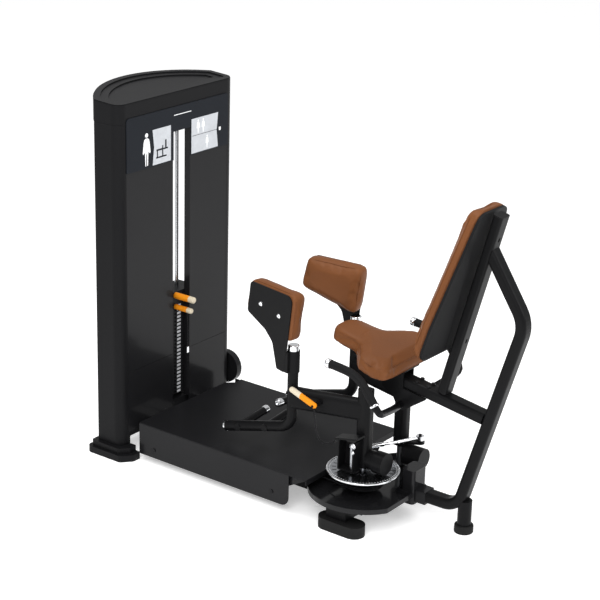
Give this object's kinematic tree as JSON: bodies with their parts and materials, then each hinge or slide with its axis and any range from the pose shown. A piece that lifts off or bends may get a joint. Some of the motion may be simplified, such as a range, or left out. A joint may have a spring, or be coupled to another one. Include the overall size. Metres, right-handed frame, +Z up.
{
  "type": "hip abductor machine",
  "caption": "Seated hip abduction machine with a guided weight stack, linked swing arms with leg pads, foot pegs, saddle seat, backrest and side handles.",
  "frame": {"origin": "middle of the floor area under the machine", "axes": "+X from the weight tower to the backrest, +Y towards the far arm, +Z up"},
  "size_m": [1.9342, 0.78, 1.4999],
  "materials": {
    "frame_black": "satin black powder coat with a fine texture",
    "tower_black": "satin black",
    "panel_gloss": "gloss black",
    "tray_gloss": "gloss black moulding",
    "placard": "dark satin sheet",
    "cards": "printed grey card with blank panels",
    "rod_steel": "polished guide rod",
    "bumper": "matt black",
    "plates": "black coated plates with pale index labels",
    "cable": "black jacketed steel cable",
    "pulley": "moulded black",
    "foot_rubber": "matt black",
    "shaft": "turned steel",
    "housing": "satin black moulding",
    "pan": "textured black moulding",
    "hide": "brown upholstery with piped seams",
    "plug": "black plug",
    "grip": "black ribbed grip",
    "fastener": "plated",
    "orange": "orange moulding with a cream end",
    "disc": "polished disc with a bright edge",
    "cap_chrome": "bright chrome",
    "rod_chrome": "bright plated rod",
    "tag": "satin",
    "cam": "dark anodised"
  },
  "bodies": {
    "machine_frame": {"near_column": "tower_black", "far_column": "tower_black", "column_feet": "tower_black", "tower_beams": "tower_black", "top_cap": "housing", "near_front_panel": "panel_gloss", "far_front_panel": "panel_gloss", "lower_covers": "panel_gloss", "placard_plate": "placard", "instruction_cards": "cards", "guide_rods": "rod_steel", "stack_bumpers": "bumper", "lower_plates": "plates", "pulley_brackets": "frame_black", "drive_cable": "cable", "platform_deck": "panel_gloss", "platform_skirts": "panel_gloss", "underframe": "frame_black", "pivot_tray": "tray_gloss", "base_foot_pads": "foot_rubber", "base_cross_beam": "frame_black", "pivot_shafts": "shaft", "rear_loop": "frame_black", "leg_ring": "foot_rubber", "rear_housing": "housing", "seat_rail": "frame_black", "seat_bracket": "frame_black", "seat_pan": "pan", "seat_cushion": "hide", "back_post": "frame_black", "back_post_cap": "plug", "back_shell": "pan", "back_cushion": "hide", "handle_tube": "frame_black", "handle_grips": "grip", "frame_fasteners": "fastener"},
    "lifted_stack": {"head_plate": "plates", "selected_plate": "plates", "lift_cable": "cable"},
    "selector": {"selector_pin": "orange", "pin_lanyard": "cable", "lanyard_tag": "tag"},
    "increment": {"increment_pin": "orange"},
    "upper_pulley": {"top_pulley": "pulley"},
    "lower_pulley": {"bottom_pulley": "pulley"},
    "range_disc": {"near_range_disc": "disc", "cable_cam": "cam"},
    "near_arm": {"near_arm_frame": "frame_black", "near_arm_caps": "cap_chrome", "index_bracket": "frame_black", "release_cable": "cable"},
    "plunger": {"index_plunger": "shaft"},
    "lever": {"range_lever": "orange"},
    "far_arm": {"far_arm_frame": "frame_black", "far_arm_caps": "cap_chrome"},
    "near_pad": {"near_pad_plate": "frame_black", "near_pad_cushion": "hide"},
    "far_pad": {"far_pad_plate": "frame_black", "far_pad_cushion": "hide"},
    "link": {"tie_rod": "rod_chrome"}
  },
  "joints": [
    {"name": "near_arm_swing", "type": "hinge", "parent": "machine_frame", "child": "near_arm", "pos_m": [0.369, -0.13, 0.4], "axis": [0, 0, 1], "range_deg": [0, 50]},
    {"name": "far_arm_swing", "type": "hinge", "parent": "machine_frame", "child": "far_arm", "pos_m": [0.369, 0.13, 0.4], "axis": [0, 0, 1], "range_deg": [-50.5, 0.5]},
    {"name": "disc_turn", "type": "hinge", "parent": "machine_frame", "child": "range_disc", "pos_m": [0.369, -0.13, 0.19], "axis": [0, 0, 1], "range_deg": [-0.5, 50.5]},
    {"name": "link_turn", "type": "hinge", "parent": "far_arm", "child": "link", "pos_m": [0.43697, 0.1617, 0.241], "axis": [0, 0, 1], "range_deg": [-0.5, 50.5]},
    {"name": "stack_lift", "type": "slide", "parent": "machine_frame", "child": "lifted_stack", "axis": [0, 0, 1], "range_m": [-0.0005, 0.0729], "deforming": ["lift_cable"]},
    {"name": "upper_pulley_spin", "type": "hinge", "parent": "machine_frame", "child": "upper_pulley", "pos_m": [-0.817, 0.02, 1.3095], "axis": [0, 1, 0], "range_deg": [-84, 1]},
    {"name": "lower_pulley_spin", "type": "hinge", "parent": "machine_frame", "child": "lower_pulley", "pos_m": [-0.834, 0.02, 0.092], "axis": [0, 1, 0], "range_deg": [-127, 1]},
    {"name": "selector_pull", "type": "slide", "parent": "lifted_stack", "child": "selector", "axis": [1, 0, 0], "range_m": [0, 0.07]},
    {"name": "increment_pull", "type": "slide", "parent": "lifted_stack", "child": "increment", "axis": [1, 0, 0], "range_m": [0, 0.07]},
    {"name": "lever_tilt", "type": "hinge", "parent": "near_arm", "child": "lever", "pos_m": [0.207, -0.24, 0.447], "axis": [0, 1, 0], "range_deg": [0, 12]},
    {"name": "plunger_lift", "type": "slide", "parent": "near_arm", "child": "plunger", "axis": [0, 0, 1], "range_m": [-0.0003, 0.0125]},
    {"name": "near_pad_swivel", "type": "hinge", "parent": "near_arm", "child": "near_pad", "pos_m": [0.08, -0.207, 0.59], "axis": [0, 0, 1], "range_deg": [-12, 12]},
    {"name": "far_pad_swivel", "type": "hinge", "parent": "far_arm", "child": "far_pad", "pos_m": [0.08, 0.207, 0.59], "axis": [0, 0, 1], "range_deg": [-12, 12]}
  ],
  "couplings": [
    {"joint": "far_arm_swing", "follows": "near_arm_swing", "ratio": -1},
    {"joint": "disc_turn", "follows": "near_arm_swing", "ratio": 1},
    {"joint": "link_turn", "follows": "near_arm_swing", "ratio": 1},
    {"joint": "stack_lift", "follows": "near_arm_swing", "m_per_rad": 0.083},
    {"joint": "upper_pulley_spin", "follows": "near_arm_swing", "ratio": -1.66},
    {"joint": "lower_pulley_spin", "follows": "near_arm_swing", "ratio": -2.5152},
    {"joint": "plunger_lift", "follows": "lever_tilt", "m_per_rad": 0.055}
  ]
}
